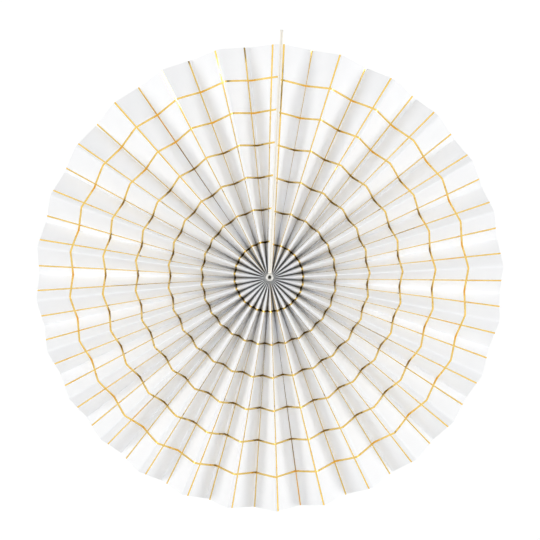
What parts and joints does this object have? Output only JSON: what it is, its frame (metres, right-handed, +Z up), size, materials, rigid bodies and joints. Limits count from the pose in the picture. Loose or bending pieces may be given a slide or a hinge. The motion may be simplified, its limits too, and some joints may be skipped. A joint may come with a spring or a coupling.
{
  "type": "paper fan rosette",
  "caption": "Round hanging ornament of accordion-pleated paper bent into a full circle, with a card-stiffened radial seam that ends in a tab with a hanging hole.",
  "frame": {"origin": "middle of the hanging hole in the seam's card tab", "axes": "+Z up along the seam, the printed front faces -Y, and +X runs along the hanging hole to the right as seen from the front"},
  "size_m": [0.3199, 0.0299, 0.3303],
  "materials": {
    "printed_paper": "white, slightly satin, printed with gold lines",
    "greyboard": "matte tan with a cut edge",
    "tape": "matte tissue tape",
    "dried_glue": "dull white"
  },
  "bodies": {
    "root": {"pleated_paper": "printed_paper", "card_strip_right": "greyboard", "card_strip_left": "greyboard", "seam_tape": "tape", "centre_glue": "dried_glue"}
  },
  "joints": []
}
